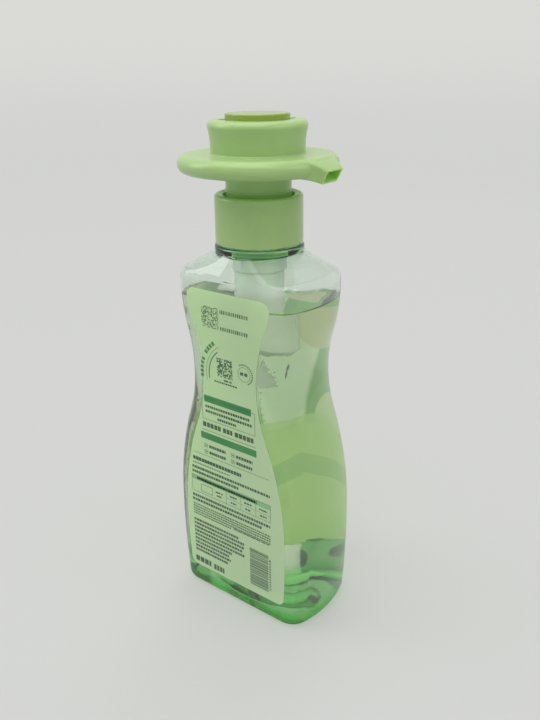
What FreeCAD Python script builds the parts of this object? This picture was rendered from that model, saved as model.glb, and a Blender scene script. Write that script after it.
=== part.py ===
"""A pump bottle of laundry gel, in millimetres.

The origin is the centre of the base on the bottle's axis, +Z is up, +X is the bottle's width and
the way the spout points, and -Y is the back. Every driving size is a cell of the Sizes sheet.
"""

import FreeCAD, Part
import math
import os
import Sketcher

SIZES = {
    # bottle body: its side outline is four arcs, each tangent to the next, carried round an
    # upright axis beyond the far side, so that the narrow sides bow
    "body_depth": 47.5,
    "bow_axis": 15.2,
    "belly_half": 41.4,
    "belly_height": 41.7,
    "belly_arc": 490.0,
    "hip_arc": 166.0,
    "waist_half": 29.35,
    "waist_height": 123.9,
    "waist_arc": 68.0,
    "shoulder_half": 34.7,
    "shoulder_arc": 90.0,
    "shoulder_height": 170.1,
    "corner_radius": 10.5,
    "heel_radius": 4.5,
    "shoulder_round": 4.5,
    "wall": 0.65,
    "base_thickness": 1.5,
    "dimple_rise": 2.5,
    "dimple_long": 28.0,
    "dimple_short": 15.0,
    # bottle neck
    "collar_radius": 19.2,
    "collar_height": 179.2,
    "neck_ring_radius": 19.67,
    "neck_ring_top": 182.2,
    "neck_ring_round": 1.2,
    "neck_radius": 14.3,
    "neck_bore": 12.6,
    "neck_top": 190.0,
    "preform_step": 1.8,
    # screw thread, shared by neck and closure
    "thread_pitch": 4.0,
    "thread_depth": 1.0,
    "thread_base": 1.8,
    "thread_crest": 0.8,
    "thread_root": 0.3,
    "neck_thread_start": 184.4,
    "neck_thread_rise": 4.2,
    "closure_thread_start": 184.6,
    "closure_thread_rise": 3.6,
    "thread_lag": 1.5,
    # gel and labels
    "gel_level": 158.8,
    "gel_gap": 0.05,
    "gel_clearance": 0.4,
    "label_film": 0.1,
    "label_belly_half": 30.3,
    "label_waist_half": 15.2,
    "label_shoulder_half": 22.9,
    "label_belly_arc": 440.0,
    "label_hip_arc": 141.0,
    "label_waist_arc": 70.0,
    "label_shoulder_arc": 20.0,
    "label_bottom": 12.6,
    "label_top": 163.9,
    "label_corner": 4.0,
    "front_label_shoulder_half": 21.0,
    "front_label_bottom": 23.0,
    "front_label_top": 157.4,
    "front_label_corner": 1.6,
    # closure: an outer shell folded over a threaded inner wall, with a well in its top
    "closure_foot_radius": 19.22,
    "closure_radius": 19.08,
    "closure_foot": 183.15,
    "closure_top": 204.0,
    "closure_round": 1.5,
    "closure_shell": 1.2,
    "closure_inner_foot": 183.6,
    "closure_bore": 15.7,
    "closure_inner_wall": 1.2,
    "well_radius": 15.55,
    "well_rim": 202.9,
    "deck_bottom": 192.0,
    "deck_top": 193.0,
    "deck_hole": 11.6,
    # pump housing and what is fixed in it
    "gasket_inner": 11.9,
    "gasket_outer": 14.2,
    "gasket_thickness": 0.8,
    "flange_radius": 14.6,
    "flange_top": 191.9,
    "housing_upper_radius": 11.7,
    "housing_step": 171.0,
    "housing_radius": 10.9,
    "barrel_radius": 10.0,
    "barrel_foot": 138.0,
    "housing_foot": 137.0,
    "ball_chamber_radius": 4.0,
    "ball_chamber_top": 133.4,
    "ball_chamber_foot": 128.3,
    "inlet_radius": 1.8,
    "inlet_top": 126.1,
    "socket_roof": 125.3,
    "socket_foot": 117.0,
    "socket_radius": 5.25,
    "socket_top": 132.0,
    "vent_radius": 0.6,
    "vent_height": 179.0,
    "ball_radius": 3.0,
    "ball_height": 128.61,
    "fixed_gap": 0.03,
    "tube_bore": 3.0,
    "tube_foot": 5.0,
    "tube_cut": 4.6,
    "retainer_foot": 133.0,
    "retainer_disc_foot": 139.3,
    "retainer_top": 140.8,
    "retainer_bore": 4.6,
    "retainer_rib": 1.2,
    "retainer_rib_half": 3.7,
    "retainer_port": 1.1,
    "retainer_port_circle": 8.4,
    "collar_flange_radius": 12.3,
    "collar_flange_foot": 193.1,
    "collar_flange_top": 194.3,
    "collar_spigot": 11.3,
    "collar_sleeve_bore": 8.6,
    "collar_sleeve_foot": 182.8,
    "chimney_radius": 7.0,
    "chimney_bore": 5.9,
    "chimney_plate": 197.6,
    "chimney_top": 198.6,
    "wiper_foot": 195.8,
    # stem, piston and spring
    "stem_radius": 4.0,
    "stem_bore": 2.4,
    "stem_foot": 175.4,
    "stem_top": 213.7,
    "stem_collar_radius": 5.6,
    "stem_collar_foot": 183.5,
    "stem_collar_top": 184.7,
    "window_half": 1.2,
    "window_foot": 175.6,
    "window_top": 178.6,
    "running_gap": 0.05,
    "plug_foot": 173.0,
    "plug_edge": 174.0,
    "plug_radius": 7.5,
    "plug_seat_radius": 5.6,
    "plug_rib": 1.0,
    "plug_rib_top": 187.4,
    "piston_foot": 175.5,
    "piston_top": 182.5,
    "piston_sleeve": 5.2,
    "piston_web_foot": 178.2,
    "piston_web_top": 179.6,
    "piston_waist": 9.4,
    "lip_foot": 176.0,
    "lip_top": 181.8,
    "lip_land": 1.0,
    "lip_root": 8.8,
    "spring_mean": 6.5,
    "spring_wire": 1.1,
    "spring_coils": 8.0,
    "spring_gap": 0.05,
    # head: the lower moulding
    "skirt_radius": 14.1,
    "skirt_bore": 12.9,
    "skirt_foot": 201.9,
    "bead_radius": 14.5,
    "bead_foot": 204.35,
    "bead_top": 205.25,
    "bead_slope": 0.2,
    "plate_radius": 30.75,
    "plate_top": 213.7,
    "socket_tube_radius": 5.6,
    "socket_tube_foot": 207.6,
    "duct_back": 6.4,
    "duct_front": 30.2,
    "duct_half": 5.3,
    "duct_top": 217.9,
    "duct_wall": 1.0,
    # head: the hat-shaped upper moulding
    "brim_radius": 34.0,
    "brim_bottom": 212.5,
    "brim_top": 219.9,
    "brim_round": 3.5,
    "crown_foot_radius": 19.8,
    "crown_waist_radius": 20.0,
    "crown_waist": 223.6,
    "crown_flare": 28.0,
    "crown_radius": 21.9,
    "crown_top": 233.3,
    "crown_round": 2.35,
    "crown_root_round": 0.6,
    "hollow_radius": 30.8,
    "hollow_chamfer": 1.5,
    "hollow_roof": 218.7,
    "crown_hollow_radius": 18.5,
    "crown_ceiling": 231.0,
    "disc_plug_hole": 12.4,
    "disc_recess": 13.66,
    "disc_floor": 232.4,
    "scallop_radius": 3.7,
    "scallop_circle": 13.0,
    "scallop_floor": 231.9,
    "scallop_turn": 48.0,
    # crown disc
    "disc_radius": 13.56,
    "disc_top": 235.7,
    "disc_round": 0.5,
    "disc_plate": 1.3,
    "disc_plug_radius": 12.3,
    "disc_plug_bore": 11.2,
    "disc_plug_foot": 229.6,
    # spout: three cross-sections from the brim to the mouth, each leaning further forward
    "spout_root_reach": 28.0,
    "spout_root_half": 12.0,
    "spout_mid_reach": 34.1,
    "spout_mid_height": 214.7,
    "spout_mid_half": 7.7,
    "spout_mid_tall": 6.95,
    "spout_mid_lean": 14.0,
    "mouth_reach": 36.98,
    "mouth_height": 213.04,
    "mouth_half": 5.7,
    "mouth_tall": 6.4,
    "mouth_lean": 29.6,
    "mouth_round": 1.1,
    "spout_wall": 0.8,
    "bore_root_reach": 29.5,
    "bore_root_height": 216.1,
    "bore_root_half": 7.4,
    "bore_root_tall": 4.4,
    "bore_overrun": 3.0,
}

SHEET = "Sizes"
SPAN = 1.0  # how far a cutting solid runs past the face it opens


class Length:
    """A number that also knows the formula, in cells of the sheet, that gives it."""

    def __init__(self, value, formula=None):
        self.value = float(value)
        self.formula = formula or str(value)

    @staticmethod
    def of(item):
        return item if isinstance(item, Length) else Length(item)

    def joined(self, sign, other, value):
        return Length(value, f"({self.formula} {sign} {other.formula})")

    def __add__(self, other):
        other = Length.of(other)
        return self.joined("+", other, self.value + other.value)

    def __sub__(self, other):
        other = Length.of(other)
        return self.joined("-", other, self.value - other.value)

    def __mul__(self, other):
        other = Length.of(other)
        return self.joined("*", other, self.value * other.value)

    def __truediv__(self, other):
        other = Length.of(other)
        return self.joined("/", other, self.value / other.value)

    def __neg__(self):
        return Length(-self.value, f"(0 - {self.formula})")


class Sizes:
    """The driving sizes, by name."""

    def __getattr__(self, name):
        return Length(SIZES[name], f"{SHEET}.{name}")


size = Sizes()
doc = FreeCAD.newDocument("LaundryGelBottle")


def fill_sheet():
    sheet = doc.addObject("Spreadsheet::Sheet", SHEET)
    for row, (name, value) in enumerate(SIZES.items(), start=1):
        sheet.set(f"A{row}", name)
        sheet.set(f"B{row}", str(value))
        sheet.setAlias(f"B{row}", name)
    doc.recompute()


# sketches ---------------------------------------------------------------------------------------


def new_body(name):
    return doc.addObject("PartDesign::Body", name)


def bind(item, prop, length):
    item.setExpression(prop, Length.of(length).formula)


def new_sketch(body, name, plane, lift=0.0):
    """A sketch on one of the body's origin planes, raised along that plane's normal by lift."""
    sketch = body.newObject("Sketcher::SketchObject", f"{body.Name}{name}")
    origin_plane = next(item for item in body.Origin.OriginFeatures if item.Role == plane)
    sketch.AttachmentSupport = (origin_plane, [""])
    sketch.MapMode = "FlatFace"
    bind(sketch, "AttachmentOffset.Base.z", lift)
    return sketch


def hold(sketch, kind, *places, length):
    """Adds a dimension to the sketch and binds it to the length's formula."""
    index = sketch.addConstraint(Sketcher.Constraint(kind, *places, length.value))
    sketch.setExpression(f"Constraints[{index}]", length.formula)


def hold_point(sketch, edge, end, across, up):
    hold(sketch, "DistanceX", -1, 1, edge, end, length=Length.of(across))
    hold(sketch, "DistanceY", -1, 1, edge, end, length=Length.of(up))


def arc(centre, radius, start, end):
    circle = Part.Circle(FreeCAD.Vector(*centre, 0), FreeCAD.Vector(0, 0, 1), radius)
    return Part.ArcOfCircle(circle, start, end)


def line(start, end):
    return Part.LineSegment(FreeCAD.Vector(*start, 0), FreeCAD.Vector(*end, 0))


def hollow_arc(start, end, radius):
    """An arc from start to end that bows to the left, and so has its centre on the right."""
    chord = (end[0] - start[0], end[1] - start[1])
    reach = math.hypot(*chord)
    drop = math.sqrt(radius**2 - reach**2 / 4)
    centre = [(start[i] + end[i]) / 2 + drop * (chord[1], -chord[0])[i] / reach for i in (0, 1)]
    angles = [math.atan2(point[1] - centre[1], point[0] - centre[0]) for point in (end, start)]
    return arc(centre, radius, *angles)


def draw_outline(sketch, corners):
    """Closed outline through the corners; a third value makes the next edge a hollow arc."""
    corners = [[Length.of(item) for item in corner] for corner in corners]
    points = [(corner[0].value, corner[1].value) for corner in corners]
    ends = []
    for index, corner in enumerate(corners):
        start, end = points[index], points[(index + 1) % len(points)]
        if len(corner) == 3:
            edge = sketch.addGeometry(hollow_arc(start, end, corner[2].value), False)
            hold(sketch, "Radius", edge, length=corner[2])
            ends.append((edge, 2, 1))
        else:
            edge = sketch.addGeometry(line(start, end), False)
            ends.append((edge, 1, 2))
    for index, (edge, first, last) in enumerate(ends):
        following, its_first, _ = ends[(index + 1) % len(ends)]
        sketch.addConstraint(Sketcher.Constraint("Coincident", edge, last, following, its_first))
        hold_point(sketch, edge, first, *corners[index][:2])


def draw_circle(sketch, radius, across=0.0, up=0.0):
    radius, across, up = Length.of(radius), Length.of(across), Length.of(up)
    centre = FreeCAD.Vector(across.value, up.value, 0)
    circle = sketch.addGeometry(Part.Circle(centre, FreeCAD.Vector(0, 0, 1), radius.value), False)
    hold_point(sketch, circle, 3, across, up)
    hold(sketch, "Radius", circle, length=radius)


def draw_rounded_rectangle(sketch, half_width, half_height, radius):
    """Rectangle centred on the sketch's origin, its four corners rounded."""
    wide, tall = (half_width - radius), (half_height - radius)
    corners = [(wide, -tall), (wide, tall), (-wide, tall), (-wide, -tall)]
    for index, (across, up) in enumerate(corners):
        turn = (index - 1) * math.pi / 2
        centre = (across.value, up.value)
        corner = sketch.addGeometry(arc(centre, radius.value, turn, turn + math.pi / 2), False)
        hold_point(sketch, corner, 3, across, up)
        hold(sketch, "Radius", corner, length=radius)
    for index, (across, up) in enumerate(corners):
        turn = index * math.pi / 2
        off = (radius.value * math.cos(turn), radius.value * math.sin(turn))
        following = corners[(index + 1) % 4]
        start = (across.value + off[0], up.value + off[1])
        end = (following[0].value + off[0], following[1].value + off[1])
        side = sketch.addGeometry(line(start, end), False)
        sketch.addConstraint(Sketcher.Constraint("Tangent", index, 2, side, 1))
        sketch.addConstraint(Sketcher.Constraint("Tangent", side, 2, (index + 1) % 4, 1))


def draw_bowed_rectangle(sketch, half_width, half_depth, radius):
    """Rounded rectangle whose short sides are arcs about centres set back beyond the middle."""
    set_back = size.bow_axis
    bow = half_width + set_back
    up = (half_depth - radius).value
    across = math.sqrt((bow - radius).value ** 2 - up**2) - set_back.value
    turn = math.atan2(up, across + set_back.value)
    for side, start in ((1, 0), (-1, math.pi)):
        far, high, edge = across * side, up * side, half_depth.value * side
        quarter = start + math.pi / 2
        sketch.addGeometry([
            arc((-set_back.value * side, 0), bow.value, start - turn, start + turn),
            arc((far, high), radius.value, start + turn, quarter),
            line((far, edge), (-far, edge)),
            arc((-far, high), radius.value, quarter, start + math.pi - turn),
        ], False)
    for index in range(8):
        sketch.addConstraint(Sketcher.Constraint("Tangent", index, 2, (index + 1) % 8, 1))
    for first, side in ((0, 1), (4, -1)):
        hold_point(sketch, first, 3, -set_back * side, 0)
        hold(sketch, "Radius", first, length=bow)
        hold(sketch, "Radius", first + 1, length=radius)
        sketch.addConstraint(Sketcher.Constraint("Horizontal", first + 2))
        hold(sketch, "DistanceY", -1, 1, first + 2, 1, length=half_depth * side)
        hold(sketch, "Radius", first + 3, length=radius)


def meeting(centre_a, reach_a, centre_b, reach_b):
    """The point at the two given distances from two centres, on the left of the line a to b."""
    across, up = centre_b[0] - centre_a[0], centre_b[1] - centre_a[1]
    apart = math.hypot(across, up)
    along = (reach_a**2 - reach_b**2 + apart**2) / (2 * apart)
    aside = math.sqrt(reach_a**2 - along**2)
    return (
        centre_a[0] + (along * across - aside * up) / apart,
        centre_a[1] + (along * up + aside * across) / apart,
    )


def toward(centre, target):
    return math.atan2(target[1] - centre[1], target[0] - centre[0])


def draw_waisted_half(sketch, foot, top, halves, arcs, closing=Length(0)):
    """The +X half of the waisted outline: belly, hip, waist and shoulder arcs, then straight up.

    It is closed by an upright line, on the axis unless closing says how far across.
    """
    belly_half, waist_half, shoulder_half = halves
    belly_arc, hip_arc, waist_arc, shoulder_arc = arcs
    belly_across = belly_half - belly_arc
    waist_across = waist_half + waist_arc
    shoulder_across = shoulder_half - shoulder_arc
    belly = (belly_across.value, size.belly_height.value)
    waist = (waist_across.value, size.waist_height.value)
    inner_reach = belly_arc.value - hip_arc.value
    hip = meeting(waist, hip_arc.value + waist_arc.value, belly, inner_reach)
    apart = shoulder_arc.value + waist_arc.value
    lift = math.sqrt(apart**2 - (waist[0] - shoulder_across.value) ** 2)
    shoulder = (shoulder_across.value, waist[1] + lift)
    base_turn = math.asin((foot.value - belly[1]) / belly_arc.value)
    corner = belly[0] + belly_arc.value * math.cos(base_turn)

    edges = [
        line((closing.value, foot.value), (corner, foot.value)),
        arc(belly, belly_arc.value, base_turn, toward(belly, hip)),
        arc(hip, hip_arc.value, toward(belly, hip), toward(hip, waist)),
        arc(waist, waist_arc.value, toward(waist, shoulder), toward(waist, hip)),
        arc(shoulder, shoulder_arc.value, toward(shoulder, waist), 0),
        line((shoulder_half.value, shoulder[1]), (shoulder_half.value, top.value)),
        line((shoulder_half.value, top.value), (closing.value, top.value)),
        line((closing.value, top.value), (closing.value, foot.value)),
    ]
    sketch.addGeometry(edges, False)
    for rule in (
        ("Horizontal", 0),
        ("Coincident", 0, 2, 1, 1),
        ("Tangent", 1, 2, 2, 1),
        ("Tangent", 2, 2, 3, 2),
        ("Tangent", 3, 1, 4, 1),
        ("Tangent", 4, 2, 5, 1),
        ("Vertical", 5),
        ("Coincident", 5, 2, 6, 1),
        ("Horizontal", 6),
        ("Coincident", 6, 2, 7, 1),
        ("Vertical", 7),
        ("Coincident", 7, 2, 0, 1),
    ):
        sketch.addConstraint(Sketcher.Constraint(*rule))
    for edge, radius in enumerate(arcs, start=1):
        hold(sketch, "Radius", edge, length=radius)
    hold_point(sketch, 1, 3, belly_across, size.belly_height)
    hold_point(sketch, 3, 3, waist_across, size.waist_height)
    hold(sketch, "DistanceX", -1, 1, 4, 3, length=shoulder_across)
    hold(sketch, "DistanceX", -1, 1, 7, 1, length=closing)
    hold(sketch, "DistanceY", -1, 1, 0, 1, length=foot)
    hold(sketch, "DistanceY", -1, 1, 6, 2, length=top)


# features ---------------------------------------------------------------------------------------


def add_feature(body, kind, name, **properties):
    feature = body.newObject(f"PartDesign::{kind}", f"{body.Name}{name}")
    for prop, value in properties.items():
        setattr(feature, prop, value)
    return feature


def revolve(body, corners, name="Turned"):
    sketch = new_sketch(body, f"{name}Outline", "XZ_Plane")
    draw_outline(sketch, corners)
    return add_feature(
        body, "Revolution", name, Profile=sketch, ReferenceAxis=(sketch, ["V_Axis"]), Angle=360
    )


def pad(body, sketch, name, length, both_ways=False):
    feature = add_feature(body, "Pad", name, Profile=sketch, Midplane=both_ways)
    bind(feature, "Length", length)
    return feature


def pocket(body, sketch, name, length, both_ways=False, backwards=False):
    """A pocket that must take material away."""
    doc.recompute()
    before = body.Shape.Volume
    feature = add_feature(
        body, "Pocket", name, Profile=sketch, Midplane=both_ways, Reversed=backwards
    )
    bind(feature, "Length", length)
    doc.recompute()
    if body.Shape.Volume >= before:
        raise RuntimeError(f"{feature.Name} cuts nothing")
    return feature


def pattern_round(body, feature, name, count):
    doc.recompute()
    ring = add_feature(body, "PolarPattern", name, Originals=[feature], Angle=360)
    ring.Axis = (next(f for f in body.Origin.OriginFeatures if f.Role == "Z_Axis"), [""])
    ring.Occurrences = count
    body.Tip = ring
    return ring


def edges_where(shape, chosen):
    return [f"Edge{index}" for index, edge in enumerate(shape.Edges, start=1) if chosen(edge)]


def round_edges(body, name, radius, chosen):
    doc.recompute()
    names = edges_where(body.Shape, chosen)
    if not names:
        raise RuntimeError(f"{body.Name} {name}: no such edge")
    feature = add_feature(body, "Fillet", name, Base=(body.Tip, names))
    bind(feature, "Radius", radius)
    doc.recompute()
    return feature


def ring_edge(radius, height):
    """Picks the round edge of that radius at that height."""

    def chosen(edge):
        box = edge.BoundBox
        level = abs(box.ZMin - height.value) < 0.01 and abs(box.ZMax - height.value) < 0.01
        return level and abs(box.XMax - radius.value) < 0.02

    return chosen


def add_thread(body, corners, rise):
    sketch = new_sketch(body, "RidgeOutline", "XZ_Plane")
    draw_outline(sketch, corners)
    ridge = add_feature(
        body, "AdditiveHelix", "Thread", Profile=sketch, ReferenceAxis=(sketch, ["V_Axis"])
    )
    ridge.Mode = "pitch-height-angle"
    ridge.Angle = 0
    ridge.LeftHanded = False
    ridge.Reversed = False
    bind(ridge, "Pitch", size.thread_pitch)
    bind(ridge, "Height", rise)
    return ridge


def add_loft(body, sections, name):
    loft = add_feature(body, "AdditiveLoft", name, Profile=sections[0])
    loft.Sections = [(section, [""]) for section in sections[1:]]
    return loft


def combine(kind, name, base, tool):
    item = doc.addObject(f"Part::{kind}", name)
    item.Base = base
    item.Tool = tool
    return item


def place_up(item, height):
    bind(item, "Placement.Base.z", height)
    return item


def turn_about(item, axis, angle, prop="Placement"):
    """Turns an item about an axis through its origin by an angle in degrees."""
    offset = getattr(item, prop)
    offset.Rotation = FreeCAD.Rotation(FreeCAD.Vector(*axis), angle.value)
    setattr(item, prop, offset)
    bind(item, f"{prop}.Rotation.Angle", angle)


# bottle -----------------------------------------------------------------------------------------


def mirror_across(body, features):
    doc.recompute()
    whole = add_feature(body, "Mirrored", "Whole", Originals=features)
    whole.MirrorPlane = (next(f for f in body.Origin.OriginFeatures if f.Role == "YZ_Plane"), [""])
    body.Tip = whole


def bowed_block(name, foot, top, halves, arcs, depth):
    """A block cut back to the waisted outline all round an upright axis beyond its middle."""
    body = new_body(name)
    block = new_sketch(body, "Block", "XZ_Plane")
    edge = size.belly_half + SPAN
    draw_outline(block, [(0, foot), (edge, foot), (edge, top), (0, top)])
    half = pad(body, block, "Half", depth, both_ways=True)

    beyond = new_sketch(body, "Side", "XZ_Plane")
    draw_waisted_half(beyond, foot - SPAN, top + SPAN, halves, arcs, size.belly_half * 1.5)
    axis = beyond.addGeometry(line((-size.bow_axis.value, 0), (-size.bow_axis.value, 1)), True)
    hold_point(beyond, axis, 1, -size.bow_axis, 0)
    hold_point(beyond, axis, 2, -size.bow_axis, SPAN)
    bow = add_feature(
        body, "Groove", "Bow", Profile=beyond, ReferenceAxis=(beyond, ["Axis0"]),
        Angle=120, Midplane=True,
    )
    mirror_across(body, [half, bow])
    return body


def upright_side_edge(depth):
    """Picks the edges that run up the outline where it meets the flat front and back."""

    def chosen(edge):
        box = edge.BoundBox
        flat = box.YLength < 0.01 and abs(abs(box.YMin) - depth.value / 2) < 0.01
        return flat and box.ZLength > 1 and max(abs(box.XMin), abs(box.XMax)) > 1

    return chosen


def level_edge(height):
    def chosen(edge):
        box = edge.BoundBox
        return abs(box.ZMin - height.value) < 0.01 and abs(box.ZMax - height.value) < 0.01

    return chosen


def bottle_form(name, inset, foot, collar_drop, neck_radius, neck_foot, neck_top):
    """The bottle's outer form, or with an inset the form of the space inside it."""
    depth = size.body_depth - inset * 2
    shoulder_height = size.shoulder_height - inset
    halves = [half - inset for half in (size.belly_half, size.waist_half, size.shoulder_half)]
    arcs = [size.belly_arc - inset, size.hip_arc - inset, size.waist_arc + inset]
    arcs.append(size.shoulder_arc - inset)
    body = bowed_block(name, foot, shoulder_height, halves, arcs, depth)
    round_edges(body, "Corners", size.corner_radius - inset, upright_side_edge(depth))
    round_edges(body, "Heel", size.heel_radius - inset, level_edge(foot))

    edge = new_sketch(body, "ShoulderEdge", "XY_Plane", shoulder_height)
    draw_bowed_rectangle(edge, halves[2], depth / 2, size.corner_radius - inset)
    collar = new_sketch(body, "CollarEdge", "XY_Plane", size.collar_height - collar_drop)
    draw_circle(collar, size.collar_radius - collar_drop)
    add_loft(body, [edge, collar], "Shoulder")
    round_edges(body, "ShoulderRound", size.shoulder_round - inset, level_edge(shoulder_height))

    neck = new_sketch(body, "NeckCircle", "XY_Plane", neck_foot)
    draw_circle(neck, neck_radius)
    pad(body, neck, "Neck", neck_top - neck_foot)
    return body


def dimpled(name, form, thickness):
    """The form with the base's push-up taken from its underside."""
    dimple = doc.addObject("Part::Ellipsoid", f"{name}Dimple")
    bind(dimple, "Radius1", size.dimple_rise * 2 + thickness)
    bind(dimple, "Radius2", size.dimple_long + thickness)
    bind(dimple, "Radius3", size.dimple_short + thickness)
    place_up(dimple, -size.dimple_rise)
    return combine("Cut", name, form, dimple)


def ridge_corners(wall, outward):
    """Section of a thread ridge that stands on a wall; outward is +1 or -1."""
    start = size.neck_thread_start if outward > 0 else size.closure_thread_start
    root = wall - size.thread_root * outward
    crest = wall + size.thread_depth * outward
    corners = [
        (root, start - size.thread_base / 2),
        (crest, start - size.thread_crest / 2),
        (crest, start + size.thread_crest / 2),
        (root, start + size.thread_base / 2),
    ]
    return corners if outward > 0 else corners[::-1]


def make_bottle():
    none = Length(0)
    outer = bottle_form(
        "BottleOuter", none, none, none, size.neck_radius, size.collar_height, size.neck_top
    )
    overhang = size.neck_ring_radius - size.collar_radius
    revolve(outer, [
        (0, size.collar_height),
        (size.collar_radius, size.collar_height),
        (size.neck_ring_radius, size.collar_height + overhang),
        (size.neck_ring_radius, size.neck_ring_top),
        (0, size.neck_ring_top),
    ], "NeckRing")
    ring_top = ring_edge(size.neck_ring_radius, size.neck_ring_top)
    round_edges(outer, "RingRound", size.neck_ring_round, ring_top)
    add_thread(outer, ridge_corners(size.neck_radius, 1), size.neck_thread_rise)

    inner = bottle_form(
        "BottleInner", size.wall, size.base_thickness, size.preform_step,
        size.neck_bore, size.shoulder_height, size.neck_top + SPAN,
    )
    solid = dimpled("BottleSolid", outer, none)
    space = dimpled("BottleSpace", inner, size.base_thickness)
    return combine("Cut", "Bottle", solid, space)


def make_gel():
    inset = size.wall + size.gel_gap
    form = bottle_form(
        "GelForm", inset, size.base_thickness + size.gel_gap, size.preform_step,
        size.neck_bore, size.shoulder_height, size.neck_top,
    )
    whole = dimpled("GelWhole", form, size.base_thickness + size.gel_gap)
    above = doc.addObject("Part::Box", "AirAbove")
    bind(above, "Length", size.belly_half * 3)
    bind(above, "Width", size.body_depth * 2)
    bind(above, "Height", size.neck_top)
    bind(above, "Placement.Base.x", -size.belly_half * 1.5)
    bind(above, "Placement.Base.y", -size.body_depth)
    place_up(above, size.gel_level)
    level = combine("Cut", "GelBelowLevel", whole, above)

    room = new_body("PumpRoom")
    free = size.gel_clearance
    revolve(room, [
        (0, size.tube_foot - free),
        (size.ball_chamber_radius + free, size.tube_foot - free),
        (size.ball_chamber_radius + free, size.socket_foot - free),
        (size.socket_radius + free, size.socket_foot - free),
        (size.socket_radius + free, size.socket_top - free),
        (size.housing_radius + free, size.housing_foot - free),
        (size.housing_radius + free, size.gel_level + SPAN),
        (0, size.gel_level + SPAN),
    ])
    return combine("Cut", "Gel", level, room)


def make_label(name, side, shoulder_half, bottom, top, corner_radius):
    """A waisted film label on the flat front (side +1) or back (side -1)."""
    halves = [size.label_belly_half, size.label_waist_half, shoulder_half]
    arcs = [size.label_belly_arc, size.label_hip_arc, size.label_waist_arc]
    arcs.append(size.label_shoulder_arc)
    body = new_body(name)
    sketch = new_sketch(body, "Side", "XZ_Plane")
    draw_waisted_half(sketch, bottom, top, halves, arcs)
    mirror_across(body, [pad(body, sketch, "Half", size.label_film, both_ways=True)])

    def corner(edge):
        box = edge.BoundBox
        point = max(box.XLength, box.ZLength) < 0.01
        return point and min(abs(box.ZMin - end.value) for end in (bottom, top)) < 0.01

    round_edges(body, "Corners", corner_radius, corner)
    bind(body, "Placement.Base.y", (size.body_depth + size.label_film) * side / 2)
    return body


def make_back_label():
    return make_label(
        "BackLabel", -1, size.label_shoulder_half, size.label_bottom, size.label_top,
        size.label_corner,
    )


def make_front_label():
    """It stops short of the gel's level and starts higher up than the back one."""
    return make_label(
        "FrontLabel", 1, size.front_label_shoulder_half, size.front_label_bottom,
        size.front_label_top, size.front_label_corner,
    )


# closure ----------------------------------------------------------------------------------------


def make_closure():
    body = new_body("Closure")
    inner = size.closure_bore
    outer = size.closure_bore + size.closure_inner_wall
    shell = size.closure_radius - size.closure_shell
    roof = size.well_rim - size.closure_shell
    revolve(body, [
        (size.closure_foot_radius, size.closure_foot),
        (size.closure_radius, size.closure_top),
        (size.well_radius, size.well_rim),
        (size.well_radius, size.deck_top),
        (size.deck_hole, size.deck_top),
        (size.deck_hole, size.deck_bottom),
        (inner, size.deck_bottom),
        (inner, size.closure_inner_foot),
        (outer, size.closure_inner_foot),
        (outer, roof),
        (shell, roof),
        (shell, size.closure_foot),
    ])
    top_edge = ring_edge(size.closure_radius, size.closure_top)
    round_edges(body, "TopRound", size.closure_round, top_edge)
    add_thread(body, ridge_corners(size.closure_bore, -1), size.closure_thread_rise)
    # turned so that its thread lies just under the neck's, at the lag below it
    ahead = size.closure_thread_start - size.neck_thread_start + size.thread_lag
    turn_about(body, (0, 0, 1), ahead / size.thread_pitch * 360)
    return body


# pump -------------------------------------------------------------------------------------------


def tube(name, inner, outer, foot, top):
    body = new_body(name)
    revolve(body, [(inner, foot), (outer, foot), (outer, top), (inner, top)])
    return body


def make_gasket():
    top = size.neck_top + size.gasket_thickness
    return tube("Gasket", size.gasket_inner, size.gasket_outer, size.neck_top, top)


def make_housing():
    body = new_body("Housing")
    flange_foot = size.neck_top + size.gasket_thickness
    step_slope = size.housing_upper_radius - size.housing_radius
    revolve(body, [
        (size.socket_radius, size.socket_foot),
        (size.socket_radius, size.socket_top),
        (size.housing_radius, size.housing_foot),
        (size.housing_radius, size.housing_step),
        (size.housing_upper_radius, size.housing_step + step_slope),
        (size.housing_upper_radius, flange_foot),
        (size.flange_radius, flange_foot),
        (size.flange_radius, size.flange_top),
        (size.barrel_radius, size.flange_top),
        (size.barrel_radius, size.barrel_foot),
        (size.ball_chamber_radius, size.ball_chamber_top),
        (size.ball_chamber_radius, size.ball_chamber_foot),
        (size.inlet_radius, size.inlet_top),
        (size.inlet_radius, size.socket_roof),
        (size.ball_chamber_radius, size.socket_roof),
        (size.ball_chamber_radius, size.socket_foot),
    ])
    vent = new_sketch(body, "VentCircle", "XZ_Plane")
    draw_circle(vent, size.vent_radius, 0, size.vent_height)
    pocket(body, vent, "Vent", size.flange_radius)
    return body


def make_dip_tube():
    outer = size.ball_chamber_radius - size.fixed_gap
    body = tube("DipTube", size.tube_bore, outer, size.tube_foot, size.socket_roof)
    wedge = new_sketch(body, "FootWedge", "XZ_Plane")
    reach = outer + SPAN
    draw_outline(wedge, [
        (-reach, size.tube_foot - SPAN),
        (reach, size.tube_foot - SPAN),
        (reach, size.tube_foot + size.tube_cut),
        (-outer, size.tube_foot),
    ])
    pocket(body, wedge, "FootCut", reach * 2, both_ways=True)
    return body


def make_inlet_ball():
    ball = doc.addObject("Part::Sphere", "InletBall")
    bind(ball, "Radius", size.ball_radius)
    return place_up(ball, size.ball_height)


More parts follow.
